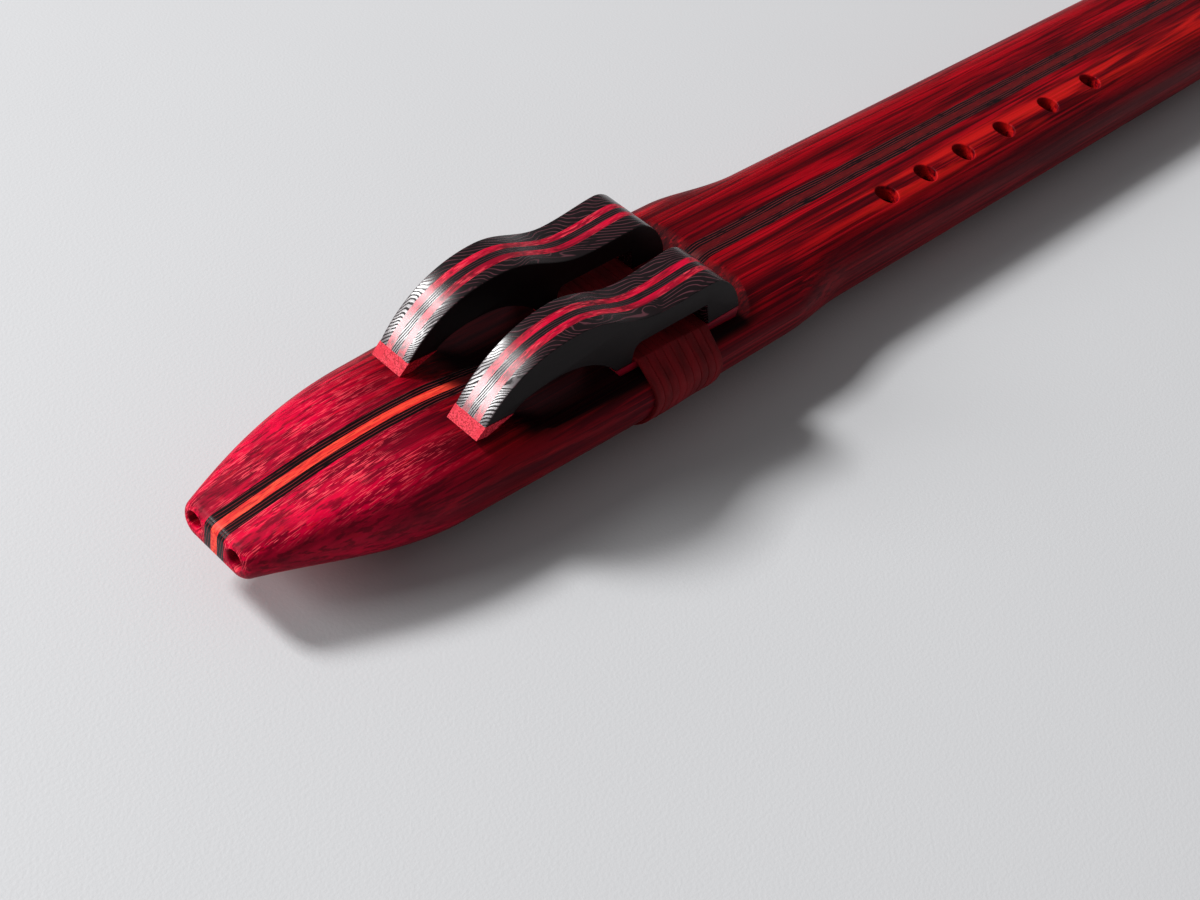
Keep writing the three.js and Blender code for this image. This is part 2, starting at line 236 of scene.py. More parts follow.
# %% Floor finish
floor_finish = Finish("pale_board")
floor_cloud = floor_finish.noise((3, 3, 3), detail=3.0)
floor_tone = floor_finish.mix(floor_cloud, colour(196, 197, 199), colour(204, 205, 207))
floor_finish.give("Base Color", floor_tone)
floor_finish.give("Roughness", 0.65)
floor_finish.bump(floor_finish.noise((900, 900, 900), detail=2.0), 0.00006)
floor.data.materials.append(floor_finish.material)

# %% [markdown]
# A finish often holds for a part of a piece only: the nose, the nest's floor, or slopes that
# face the mouth end. Such a part could be painted as a mask. Here it is a share from 0 to 1,
# worked out from where a point lies and which way it faces, so it stays sharp close up.

# %% Parts of a surface
nose_fade = (mouth_x + 0.036, mouth_x + 0.088)
# Where the painted shade of the birds on the nest's floor starts and ends
nest_shade_start = (mouth_x + 0.086, mouth_x + 0.096)
nest_shade_end = (mouth_x + 0.1875, mouth_x + 0.2035)
band_start = (mouth_x + 0.2, mouth_x + 0.3)
band_near_edge = (-0.026, -0.019)
band_far_edge = (-0.0145, -0.0085)
coat_roughness = 0.29
coat_index = 2.1


def facing(finish, letter):
    """How far the surface faces along one axis, from -1 to 1"""
    normal = finish.add("NewGeometry", {}).outputs["Normal"]
    return finish.add("SeparateXYZ", {"Vector": normal}).outputs[letter]


def side_facing(finish, low, high):
    """A share that is 1 where the surface faces sidewards"""
    return finish.step(finish.math("ABSOLUTE", facing(finish, "Y")), low, high)


def end_grain(finish):
    """A share that is 1 on slopes towards the mouth end, where the grain's ends show"""
    forwards = finish.step(finish.math("MULTIPLY", facing(finish, "X"), -1.0), 0.35, 0.75)
    return finish.both(forwards, finish.step(facing(finish, "Z"), 0.1, 0.4))


def painted_nest_shade(finish, along):
    """A share that is 1 on the nest's floor, painted dark as painted shade of the birds, and fades up its
    back ramp
    """
    started = finish.step(along, *nest_shade_start)
    ended = finish.step(along, *nest_shade_end)
    upwards = finish.step(facing(finish, "Z"), 0.72, 0.85)
    return finish.both(finish.math("SUBTRACT", started, ended), upwards)


def orange_band(finish, along):
    """A share that is 1 in the band of orange stripes through the finger holes"""
    across = finish.axis("Y")
    near = finish.step(across, *band_near_edge)
    far = finish.rest(finish.step(across, *band_far_edge))
    return finish.both(finish.both(near, far), finish.step(along, *band_start))


def polish(finish, share):
    """A hard glossy coat, only where the share says"""
    finish.give("Coat Weight", share)
    finish.give("Coat Roughness", coat_roughness)
    finish.give("Coat IOR", coat_index)


# The nest's darkness is painted shade of the birds
print("the nest is stained from", round(nest_shade_start[1], 4), "to", round(nest_shade_end[0], 4))

# %% [markdown]
# The body's wood is a deep crimson tropical hardwood. Close up it is full of short pale
# dashes, which are its pores cut open, and of dark streaks along the grain. The nose is
# brightest, partly from its wood and partly as painted light. Faces that turn sidewards are
# painted a duller maroon without dashes, which is painted shade. An orange band of stripes
# runs through the finger holes, and the nest's floor is painted nearly black, as painted
# shade of the birds. All of it is one solid texture, so that the grain runs on from piece
# to piece and into each hole. The birds' red layers are the same wood, bright all over, with
# a glossy coat on their front slopes.

# %% Crimson wood
dash_depth_ratio = 6
dash_fade = 0.05


def grain_dashes(finish, length, width, share, seed):
    """Short dashes along X, as long and as wide as said, that cover a share of the wood"""
    cells = (1 / length, 1 / width, 1 / (dash_depth_ratio * width))
    pattern = finish.noise(cells, detail=1.0, seed=seed)
    return finish.step(pattern, 1 - share, 1 - share + dash_fade)


def streaked_crimson(finish, along, nose, streak, fine_streak):
    """Streaks, clouds and fine lines, bright where the nose share is 1 and deep elsewhere; the bright nose
    is partly painted light
    """
    cloud = finish.noise((13, 85, 85), detail=3.0, roughness=0.55, distortion=0.6, seed=5.3)
    line = finish.step(finish.noise((5, 900, 900), detail=2.0, seed=11.9), 0.60, 0.70)
    band = finish.both(orange_band(finish, along), finish.step(streak, 0.42, 0.6))
    deep = finish.mix(finish.step(streak, 0.36, 0.64), colour(84, 0, 6), colour(150, 0, 16))
    bright = finish.mix(finish.step(streak, 0.36, 0.64), colour(144, 0, 36), colour(222, 0, 56))
    dark_streak = finish.mix(nose, colour(38, 0, 6), colour(92, 0, 22))
    wood = finish.mix(nose, deep, bright)
    wood = finish.mix(finish.both(finish.step(cloud, 0.5, 0.72), 0.6), wood, colour(60, 0, 10))
    wood = finish.mix(finish.both(finish.step(fine_streak, 0.48, 0.6), 0.75), wood, dark_streak)
    wood = finish.mix(finish.both(band, 0.55), wood, colour(206, 30, 20))
    return finish.mix(finish.both(line, 0.35), wood, colour(214, 16, 34))


def crimson_wood(name, gloss, shine, nest_shade_strength=0.0, coat=0.0, nose_brightness=None):
    """Crimson hardwood. Nose_brightness, from 0 to 1, gives all of it the nose's brightness, which is
    partly painted light
    """
    finish = Finish(name)
    along = finish.axis("X")
    nose = nose_brightness
    if nose_brightness is None:
        # The nose is painted brighter than the chamber: partly its wood, partly painted light
        nose = finish.rest(finish.step(along, *nose_fade))
    streak = finish.noise((9, 190, 190), detail=4.0, roughness=0.6, distortion=0.6, seed=3.1)
    fine_streak = finish.noise((16, 800, 800), detail=3.0, roughness=0.6, seed=8.7)
    wood = streaked_crimson(finish, along, nose, streak, fine_streak)

    # Faces that turn sidewards are painted a duller maroon and get no dashes: painted shade
    side = side_facing(finish, 0.45, 0.8)
    pale_dash = grain_dashes(finish, 0.0048, 0.00032, 0.44, 6.1)
    patch = finish.step(finish.noise((34, 160, 160), detail=3.0, seed=13.3), 0.36, 0.6)
    on_nose_top = finish.both(nose, finish.rest(side))
    dash_share = finish.both(finish.both(on_nose_top, patch), 0.8)
    shaded = finish.both(painted_nest_shade(finish, along), nest_shade_strength)
    wood = finish.mix(finish.both(pale_dash, dash_share), wood, colour(255, 80, 94))
    wood = finish.mix(finish.both(side, 0.4), wood, colour(108, 20, 36))
    # The nest's floor is painted nearly black: painted shade of the birds
    finish.give("Base Color", finish.mix(shaded, wood, colour(12, 0, 2)))

    roughness = finish.math("ADD", gloss, finish.both(fine_streak, 0.24))
    finish.give("Roughness", finish.math("ADD", roughness, finish.both(shaded, 0.35)))
    finish.give("Specular IOR Level", shine)
    relief = finish.math("SUBTRACT", finish.math("ADD", streak, fine_streak), pale_dash)
    finish.bump(relief, 0.000015)
    if coat:
        polish(finish, finish.both(end_grain(finish), coat))
    return finish.material


body_wood = crimson_wood("crimson_body_wood", gloss=0.34, shine=0.06, nest_shade_strength=0.96)
bird_red_wood = crimson_wood("crimson_bird_wood", gloss=0.26, shine=0.2, coat=0.7, nose_brightness=0.8)
print("crimson wood uses", len(body_wood.node_tree.nodes), "nodes")

# %% [markdown]
# The toe under each bird's front edge is red wood cut across its grain. Cut that way, the
# pores show their round ends, as a fine salmon speckle in place of dashes, so the toe gets a
# noise that is as fine in every direction. Its colours are also lighter and more salmon than
# the birds' other red wood, which is painted light for its lit front face.


# %% Toe wood
def toe_wood(name):
    """Red wood cut across its grain, with a salmon speckle of pores"""
    finish = Finish(name)
    speckle = finish.noise((1900, 1900, 1900), detail=2.0, roughness=0.6, seed=4.6)
    cloud = finish.noise((300, 300, 300), detail=2.0, seed=8.1)
    # These colours are lighter and more salmon than the other red wood: painted light
    wood = finish.mix(finish.step(speckle, 0.38, 0.62), colour(160, 4, 28), colour(240, 58, 78))
    wood = finish.mix(finish.step(cloud, 0.45, 0.75), wood, colour(206, 28, 52))
    finish.give("Base Color", wood)
    finish.give("Roughness", 0.45)
    finish.give("Specular IOR Level", 0.15)
    finish.bump(speckle, 0.00006)
    return finish.material


toe_red_wood = toe_wood("crimson_toe_wood")
print("toe wood uses", len(toe_red_wood.node_tree.nodes), "nodes")

# %% [markdown]
# Wenge is nearly black with thin pale layers. The layers are stacked in one direction and
# wander a little, so a flat cut shows straight lines and a curved cut shows contour lines,
# as on a map. Each piece turns the stack its own way. A bird's polished front slope cuts the
# pores across, and they stay dull dark lines in its gleam. That slope is also painted a
# little paler, a painted highlight, and faces that turn sidewards lose their pale lines,
# which is painted shade. Its sawn sides are duller still.

# %% Wenge
fine_layer_share = 0.9


def layer_edge(finish, depth, spacing):
    """How near a point is to the edge of its layer, from 0 in the middle to 0.5 at the edge"""
    layer = finish.math("FRACT", finish.math("DIVIDE", depth, spacing))
    return finish.math("ABSOLUTE", finish.math("SUBTRACT", layer, 0.5))


def wenge(name, stack, wander, pale, spacing=0.0011, shine=0.35, gloss=0.27, coat=1.0):
    """Dark layered wood. Stack is the direction across the layers, wander how far they stray"""
    finish = Finish(name)
    spot = finish.add("VectorMath", {0: finish.place, 1: stack}, operation="DOT_PRODUCT")
    stray = finish.noise((34, 60, 60), detail=1.5, roughness=0.5, distortion=0.8, seed=2.9)
    depth = finish.math("ADD", spot.outputs["Value"], finish.math("MULTIPLY", stray, wander))
    torn = finish.noise((150, 500, 500), detail=2.0, seed=4.4)
    tone = finish.noise((60, 400, 400), detail=3.0, seed=7.7)

    ridge = layer_edge(finish, depth, spacing)
    line = finish.both(finish.step(ridge, 0.34, 0.49), finish.step(torn, 0.26, 0.5))
    # Faces that turn sidewards lose their pale lines and stay dark: painted shade
    line = finish.both(line, finish.rest(side_facing(finish, 0.7, 0.95)))
    fine_ridge = layer_edge(finish, depth, spacing * fine_layer_share)
    pore = finish.both(finish.step(fine_ridge, 0.2, 0.34), finish.step(torn, 0.22, 0.42))
    front = finish.both(end_grain(finish), coat)
    dull = finish.both(pore, front)
    coat_and_painted_gleam = finish.math("SUBTRACT", front, dull)

    dark = finish.mix(tone, colour(8, 2, 4), colour(22, 11, 14))
    wood = finish.mix(finish.both(line, finish.rest(front)), dark, pale)
    # The front slopes are painted a little paler: a painted highlight, beside the real coat
    wood = finish.mix(finish.both(coat_and_painted_gleam, 0.14), wood, colour(190, 160, 170))
    finish.give("Base Color", wood)
    finish.give("Roughness", finish.math("ADD", gloss, finish.both(dull, 0.4)))
    finish.give("Specular IOR Level", shine)
    finish.bump(finish.math("MAXIMUM", line, dull), -0.00003)
    if coat:
        polish(finish, coat_and_painted_gleam)
    return finish.material


slanted_stack = (0.22, 0.66, 0.72)
slanted_wander = 0.0110
upright_wander = 0.0016
wenge_pale = colour(88, 48, 56)
strip_pale = colour(122, 40, 44)
strip_wenge = wenge(
    "wenge_strip_wood", (0, 1, 0.15), upright_wander, strip_pale, spacing=0.0010, shine=0.1, coat=0
)
cheek_wenge = wenge("wenge_cheek_wood", slanted_stack, slanted_wander, wenge_pale)
core_wenge = wenge("wenge_core_wood", (0.05, 1, 0.12), upright_wander, wenge_pale, spacing=0.0008)
sawn_wenge = wenge(
    "wenge_sawn_wood", slanted_stack, slanted_wander, wenge_pale, shine=0.2, gloss=0.55, coat=0
)
print("wenge uses", len(cheek_wenge.node_tree.nodes), "nodes")

# %% [markdown]
# The centre strip is padauk, a bright orange-red wood. It has the same kind of open pores,
# but they are dark. It is bright on the nose only, and dark crimson from the nest on: painted
# shade where the birds shade it, and a darker tone of the strip behind them.

# %% Padauk
padauk_fade = (mouth_x + 0.080, mouth_x + 0.092)


def padauk(name):
    """Orange wood with fine stripes and dark pores"""
    finish = Finish(name)
    streak = finish.noise((12, 900, 900), detail=3.0, roughness=0.6, seed=1.3)
    wood = finish.mix(finish.step(streak, 0.34, 0.66), colour(212, 32, 36), colour(254, 80, 56))
    # From the nest on the strip is painted dark: painted shade of the birds, then a darker tone
    bird_shade_and_dark_tone = finish.step(finish.axis("X"), *padauk_fade)
    wood = finish.mix(finish.both(bird_shade_and_dark_tone, 0.95), wood, colour(58, 0, 9))
    dash = grain_dashes(finish, 0.0050, 0.00030, 0.42, 3.9)
    wood = finish.mix(finish.both(dash, 0.6), wood, colour(120, 14, 18))
    finish.give("Base Color", wood)
    finish.give("Roughness", 0.42)
    finish.give("Specular IOR Level", 0.15)
    finish.bump(finish.math("SUBTRACT", streak, dash), 0.000015)
    return finish.material


centre_padauk = padauk("padauk_strip_wood")
print("padauk uses", len(centre_padauk.node_tree.nodes), "nodes")

# %% [markdown]
# The thong is soft burgundy leather. It has a fine pebble and a slightly fuzzy sheen. A gloss
# would make it look like plastic, so it stays rough and the sheen stays faint.


# %% Leather
def leather(name):
    """Soft dark leather with a pebble and a dusty sheen"""
    finish = Finish(name)
    cloud = finish.noise((160, 60, 60), detail=4.0, roughness=0.6, seed=2.2)
    pebble = finish.noise((2600, 2600, 2600), detail=2.0, roughness=0.6, seed=9.1)
    hide = finish.mix(finish.step(cloud, 0.3, 0.7), colour(98, 4, 11), colour(136, 10, 22))
    finish.give("Base Color", hide)
    finish.give("Roughness", 0.72)
    finish.give("Specular IOR Level", 0.2)
    finish.give("Sheen Weight", 0.08)
    finish.give("Sheen Roughness", 0.5)
    finish.give("Sheen Tint", colour(230, 120, 140))
    finish.bump(finish.math("ADD", pebble, cloud), 0.00012)
    return finish.material


thong_leather = leather("burgundy_leather")
print("leather uses", len(thong_leather.node_tree.nodes), "nodes")

# %% [markdown]
# The body's outline is drawn as cross-sections from the mouth end to the foot. A section
# is a flat top and bottom joined by two quarter ellipses on each side. These are the sizes
# that the sections follow, in metres, with x counted from the mouth and z from the flat
# underside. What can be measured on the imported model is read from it.

# %% Sizes of the body
sole_low, sole_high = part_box("drone_bird_sole")
core_low, core_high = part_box("drone_bird_core")

underside = plank_low.z
body_length = plank_high.x - plank_low.x
glue_level = plank_high.z - underside
padauk_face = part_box("padauk_strip_bottom")[1].y
wenge_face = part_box("drone_wenge_bottom")[1].y
nest_floor = sole_low.z - underside
pipe_y = (core_low.y + core_high.y) / 2
bird_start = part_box("drone_bird_toe")[0].x - mouth_x
tail_end = sole_high.x - mouth_x
bird_length = tail_end - bird_start

body_height = 0.031
mouth_top = 0.0226
mouth_bottom = 0.0114
mouth_half_width = 0.0146
chamber_half_width = 0.0315
swell_width = 0.0048
swell_lift = 0.004
swell_flat = 0.0085
nose_length = 0.068
hump_rise = 0.0006
swell_start = 0.030
swell_peak_share = 0.664
waist_after_tail = 0.024
waist_length = 0.038
mouth_rim = 0.0022
foot_rim = 0.001
ramp_before_toe = 0.013
ramp_length = 0.040
nest_after_tail = 0.0025
back_ramp_reach = 0.0117

swell_peak = bird_start + bird_length * swell_peak_share
waist_start = tail_end + waist_after_tail
ramp_start = bird_start - ramp_before_toe
ramp_foot = ramp_start + ramp_length
ramp_top = body_height + hump_rise
nest_back = tail_end + nest_after_tail
nest_depth = body_height - nest_floor
print(f"body {body_length:.3f} m long, nest floor {nest_floor * 1000:.1f} mm over the underside")


# %% Section formulas
def smooth_share(x, start, length):
    """0 before start, 1 after start plus length, with a soft start and end"""
    share = min(max((x - start) / length, 0), 1)
    return share * share * (3 - 2 * share)


def section_sizes(x):
    """Top, bottom, half width, level of the widest place, and length of the side's curve"""
    nose_share = math.sin(quarter_turn * min(max(x / nose_length, 0), 1))
    hump = hump_rise * (1 - smooth_share(x, bird_start, bird_length))
    top = mouth_top + (body_height + hump - mouth_top) * nose_share
    bottom = mouth_bottom * (1 - smooth_share(x, 0, nose_length))
    waist = 1 - smooth_share(x, waist_start, waist_length)
    swell = smooth_share(x, swell_start, swell_peak - swell_start) * waist
    nose_half_width = mouth_half_width + (chamber_half_width - mouth_half_width) * nose_share
    half_width = nose_half_width + swell_width * swell
    widest = (top + bottom) / 2 + swell_lift * swell
    side = (top - bottom) / 2 + swell_flat * swell
    return top, bottom, half_width, widest, side


def soft_minimum(first, second, blend):
    """The lower of two heights, with a soft change from one to the other"""
    near = max(blend - abs(first - second), 0) / blend
    return min(first, second) - near * near * blend / 4


def rim_inset(depth, round_size):
    """How far a rounded rim draws in at some depth from the end face"""
    left = round_size * min(max(1 - depth / round_size, 0), 1)
    return round_size - math.sqrt(round_size**2 - left**2)


def nest_level(x):
    """Height of the nest's floor with its front and back ramps, far over the wood elsewhere"""
    if x < ramp_start:
        return ramp_top + ramp_start - x
    if x < ramp_foot:
        return ramp_top - (ramp_top - nest_floor) * ((x - ramp_start) / ramp_length) ** 2
    past = smooth_share(x, nest_back, back_ramp_reach)
    return nest_floor + nest_depth * past + max(x - nest_back - back_ramp_reach, 0)


print("half width at the swell's peak:", round(section_sizes(swell_peak)[2] * 1000, 1), "mm")

# %% [markdown]
# The body could be carved from a block by hand. Here it starts as a grid primitive that is
# rolled up into a tube, because a grid can have as many rows as the outline needs. Each
# row is then pushed to its cross-section, the seam is merged and both ends are closed.

# %% Rolling a grid into a solid
seam_gap = 0.000001


def rolled_solid(name, rings):
    """A closed solid through rings of points, made from one grid"""
    rows = len(rings)
    columns = len(rings[0])
    bpy.ops.object.select_all(action="DESELECT")
    bpy.ops.mesh.primitive_grid_add(x_subdivisions=columns, y_subdivisions=rows - 1, size=1)
    solid = bpy.context.object
    solid.name = name
    for number, vertex in enumerate(solid.data.vertices):
        row, column = divmod(number, columns + 1)
        vertex.co = rings[row][column % columns]
    close_solid(solid)
    return solid


def close_solid(solid):
    """Merges the seam, fills the two open ends and points every face outwards"""
    select_only(solid)
    bpy.ops.object.mode_set(mode="EDIT")
    bpy.ops.mesh.select_all(action="SELECT")
    bpy.ops.mesh.remove_doubles(threshold=seam_gap)
    bpy.ops.mesh.select_all(action="DESELECT")
    bpy.ops.mesh.select_mode(type="EDGE")
    bpy.ops.mesh.select_non_manifold()
    bpy.ops.mesh.edge_face_add()
    bpy.ops.mesh.select_all(action="SELECT")
    bpy.ops.mesh.normals_make_consistent(inside=False)
    bpy.ops.object.mode_set(mode="OBJECT")


# %% [markdown]
# The nest is built into the sections. Where the nest is cut, a section's side curve stops
# at the nest's floor with a small eased edge, and the rest of the row lies on the floor.
# The edge then follows one column of the mesh, so it catches the light as one clean line.

# %% Shape of the body
bottom_steps = 3
lower_steps = 14
upper_steps = 20
floor_steps = 7
edge_ease = 0.0003
ramp_blend = 0.0004
ring_spacing = 0.002
fine_spacing = 0.001
crowding_share = 0.3
rim_stations = 8
front_ramp_stations = 8
back_ramp_stations = 14
after_rim = 0.0004


def half_ring(x):
    """Points of one section from the middle of the bottom out and up to the middle of the top"""
    top, bottom, half_width, widest, side = section_sizes(x)
    inset = rim_inset(x, mouth_rim) + rim_inset(body_length - x, foot_rim)
    flat = half_width - side
    reach = side - inset
    rise = top - inset - widest
    drop = widest - bottom - inset
    points = [(padauk_face, bottom + inset)]
    for step in range(bottom_steps):
        points.append((wenge_face + (flat - wenge_face) * step / bottom_steps, bottom + inset))
    for step in range(lower_steps):
        angle = quarter_turn * step / lower_steps
        points.append((flat + reach * math.sin(angle), widest - drop * math.cos(angle)))
    level = soft_minimum(nest_level(x), top - inset, ramp_blend)
    crossing = math.asin(min((level - widest) / rise, 1))
    last_angle = crossing - edge_ease / side
    for step in range(upper_steps + 1):
        angle = last_angle * step / upper_steps
        points.append((flat + reach * math.cos(angle), widest + rise * math.sin(angle)))
    edge = flat + reach * math.cos(crossing) - edge_ease
    for step in range(floor_steps + 1):
        points.append((edge + (wenge_face - edge) * step / floor_steps, level))
    points.append((padauk_face, level))
    return points


def body_ring(x):
    """A whole section: half a ring on the drone's side and its mirror image"""
    half = half_ring(x)
    drone_side = [Vector((mouth_x + x, y, underside + z)) for y, z in half]
    melody_side = [Vector((mouth_x + x, -y, underside + z)) for y, z in reversed(half)]
    return drone_side + melody_side


def body_stations():
    """Places along the body where a section is drawn, closer together at the rims and ramps"""
    rim = [1 - math.cos(quarter_turn * step / rim_stations) for step in range(rim_stations)]
    special = [ramp_start + step * fine_spacing for step in range(front_ramp_stations)]
    special += [ramp_foot]
    special += [nest_back + step * fine_spacing for step in range(back_ramp_stations)]
    special += [mouth_rim + after_rim, body_length - foot_rim - after_rim]
    between_rims = body_length - mouth_rim - foot_rim
    count = round(between_rims / ring_spacing)
    regular = [mouth_rim + between_rims * step / count for step in range(count + 1)]
    crowded = ring_spacing * crowding_share
    clear = [x for x in regular if all(abs(x - other) > crowded for other in special)]
    ends = [share * mouth_rim for share in rim] + [body_length - share * foot_rim for share in rim]
    return sorted(set(special + clear + ends))


stations = body_stations()
body = rolled_solid("body_shape", [body_ring(x) for x in stations])
print("body shape:", len(stations), "sections,", len(body.data.polygons), "faces")

# %% [markdown]
# The air ways are cut with Booleans, as a drill and a chisel would. Each pipe has a blow
# hole, an air chamber, a hole up to the flue, the shallow flue under the bird, the sound
# hole behind the bird's tail and the long bore. A cylinder primitive is the drill and a cube
# primitive is the chisel.

# %% Drill and chisel
bore_diameter = 0.020
air_chamber_diameter = 0.018
air_chamber_start_share = 0.68
sound_hole_after_tail = 0.001
sound_hole_length = 0.0055
plug_length = 0.023
exit_hole_length = 0.006
voicing_width = 0.010
flue_depth = 0.0012
overrun = 0.01
drill_sides = 64

air_chamber_start = nose_length * air_chamber_start_share
sound_hole_start = tail_end + sound_hole_after_tail
sound_hole_end = sound_hole_start + sound_hole_length
air_chamber_end = sound_hole_start - plug_length
exit_hole_start = air_chamber_end - exit_hole_length
above_body = body_height + overrun


def drill(name, start, end, diameter):
    """A round cutter along X from start to end, both given as (x, y, z) in body sizes"""
    length = end[0] - start[0]
    middle = (mouth_x + (start[0] + end[0]) / 2, start[1], underside + start[2])
    bpy.ops.object.select_all(action="DESELECT")
    turn = (0, quarter_turn, 0)
    bpy.ops.mesh.primitive_cylinder_add(
        vertices=drill_sides, radius=diameter / 2, depth=length, location=middle, rotation=turn
    )
    bpy.context.object.name = name
    return bpy.context.object


def chisel(name, low, high):
    """A box cutter between two corners given in body sizes"""
    size = [high[i] - low[i] for i in range(3)]
    middle = [(high[i] + low[i]) / 2 for i in range(3)]
    bpy.ops.object.select_all(action="DESELECT")
    spot = (mouth_x + middle[0], middle[1], underside + middle[2])
    bpy.ops.mesh.primitive_cube_add(size=1, location=spot, scale=size)
    bpy.context.object.name = name
    return bpy.context.object


print("the plug between chamber and bore is", round(plug_length * 1000), "mm long")

# %% [markdown]
# Rims that fingers and lips touch are eased. A bevel would have to follow an edge that a
# Boolean left. It is simpler to ease the cutter: it flares out in a curve just before it
# leaves the wood, and the cut takes over its form.

# %% Cutters with a flare
blow_hole_diameter = 0.006
blow_hole_y = 0.009
blow_hole_roof = 0.0014
finger_hole_diameter = 0.009
first_hole_reach = 0.096
hole_steps = (0.0243, 0.0251, 0.028, 0.0322, 0.0324)
finger_rim = 0.0006
blow_rim = 0.0008
rim_steps = 6
flare_turn = math.radians(80)
flare_rise = 0.3
flare_spread = 1.2

blow_level = mouth_top - blow_hole_roof - blow_hole_diameter / 2


def flare(rim):
    """Pairs of depth under the surface and extra radius, for a cutter that eases its rim"""
    pairs = []
    for step in range(rim_steps + 1):
        angle = flare_turn * step / rim_steps
        pairs.append((rim * (math.sin(angle) - math.sin(flare_turn)), rim * (1 - math.cos(angle))))
    widest = pairs[-1][1] + rim * flare_spread
    return pairs + [(rim * flare_rise, widest), (overrun, widest)]


def top_height(x, y):
    """Height of the body's upper surface over the underside"""
    top, _, half_width, widest, side = section_sizes(x)
    out = max(abs(y) - (half_width - side), 0)
    return widest + (top - widest) * math.sqrt(max(1 - (out / side) ** 2, 0))


def finger_cutter(name, x, y):
    """A cutter for one finger hole, whose eased rim follows the rounded surface"""
    profile = [(glue_level - body_height, 0)] + flare(finger_rim)
    rings = []
    for depth, extra in profile:
        ring = []
        for side in range(drill_sides):
            angle = 2 * math.pi * side / drill_sides
            radius = finger_hole_diameter / 2 + extra
            spot_x = x + radius * math.cos(angle)
            spot_y = y + radius * math.sin(angle)
            ring.append(Vector((mouth_x + spot_x, spot_y, underside + top_height(spot_x, spot_y) + depth)))
        rings.append(ring)
    return rolled_solid(name, rings)


def blow_cutter(name, y):
    """A cutter for one blow hole, flared at the mouth end"""
    profile = [(-air_chamber_start - blow_hole_diameter, 0)] + flare(blow_rim)
    rings = []
    for depth, extra in profile:
        radius = blow_hole_diameter / 2 + extra
        ring = []
        for side in range(drill_sides):
            angle = 2 * math.pi * side / drill_sides
            spot = (y + radius * math.cos(angle), blow_level + radius * math.sin(angle))
            ring.append(Vector((mouth_x - depth, spot[0], underside + spot[1])))
        rings.append(ring)
    return rolled_solid(name, rings)


# %% Cut the air ways and holes
def carve(piece, cutter, operation="DIFFERENCE"):
    """Cuts a piece with a cutter, or keeps only what both share, and throws the cutter away"""
    select_only(piece)
    modifier = piece.modifiers.new("carve", "BOOLEAN")
    modifier.operation = operation
    modifier.solver = "MANIFOLD"
    modifier.object = cutter
    bpy.ops.object.modifier_apply(modifier=modifier.name)
    bpy.data.objects.remove(cutter)


for hand in (1, -1):
    y = hand * pipe_y
    left = y - voicing_width / 2
    right = y + voicing_width / 2
    flue_low = nest_floor - flue_depth
    flue_high = nest_floor + flue_depth
    carve(body, blow_cutter("blow_hole", hand * blow_hole_y))
    chamber_ends = ((air_chamber_start, y, glue_level), (air_chamber_end, y, glue_level))
    carve(body, drill("air_chamber", *chamber_ends, air_chamber_diameter))
    exit_corner = (exit_hole_start, left, glue_level)
    carve(body, chisel("exit_hole", exit_corner, (air_chamber_end, right, above_body)))
    carve(body, chisel("flue", (exit_hole_start, left, flue_low), (sound_hole_end, right, flue_high)))
    sound_corner = (sound_hole_start, left, glue_level)
    carve(body, chisel("sound_hole", sound_corner, (sound_hole_end, right, above_body)))
    bore_ends = ((sound_hole_start, y, glue_level), (body_length + overrun, y, glue_level))
    carve(body, drill("bore", *bore_ends, bore_diameter))

hole_x = sound_hole_start + first_hole_reach
for step in (0,) + hole_steps:
    hole_x += step
    carve(body, finger_cutter("finger_hole", hole_x, -pipe_y))
print("carved body:", len(body.data.polygons), "faces, last finger hole at", round(mouth_x + hole_x, 4))

# %% [markdown]
# The body is glued up from strips, and each strip from a top and a bottom half, so the
# carved shape is sliced with boxes into ten pieces. Each slice face falls on a column of
# the mesh, so the pieces meet without a step.


# %% Slice the body into its strips
def copy_of(piece, name):
    """A copy with a mesh of its own"""
    copy = piece.copy()
    copy.data = piece.data.copy()
    copy.name = name
    bpy.context.scene.collection.objects.link(copy)
    return copy


def finished(piece, body_name, node, material, smooth_degrees=32):
    """Smooths a piece, gives it its finish and puts it in the place of its node"""
    select_only(piece)
    bpy.ops.object.shade_smooth_by_angle(angle=math.radians(smooth_degrees))
    piece.data.materials.clear()
    piece.data.materials.append(material)
    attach(piece, body_name)
    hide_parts(node)


beyond_side = 0.06
strips = (
    ("drone_plank", wenge_face, beyond_side, "crimson_wood", body_wood),
    ("drone_wenge", padauk_face, wenge_face, "wenge", strip_wenge),
    ("padauk_strip", -padauk_face, padauk_face, "padauk", centre_padauk),
    ("melody_wenge", -wenge_face, -padauk_face, "wenge", strip_wenge),
    ("melody_plank", -beyond_side, -wenge_face, "crimson_wood", body_wood),
)
halves = (("top", glue_level, above_body), ("bottom", -overrun, glue_level))
for strip, low_y, high_y, slot, material in strips:
    for half, low_z, high_z in halves:
        node = f"{strip}_{half}"
        piece = copy_of(body, f"{node}_wood")
        slice_box = chisel("slice", (-overrun, low_y, low_z), (body_length + overrun, high_y, high_z))
        carve(piece, slice_box, "INTERSECT")
        finished(piece, "flute_body", node, material)
        print(piece.name, len(piece.data.polygons), "faces")
bpy.data.objects.remove(body)

# %% [markdown]
# A bird block is glued up from five upright layers, wenge and red wood by turns, over a red
# sole and a red toe. Its side outline is drawn once as a few curves. A layer could be sawn
# from that outline: here a filled circle primitive has its points moved onto the outline,
# and is extruded to the layer's thickness. The outer cheeks taper towards the toe.

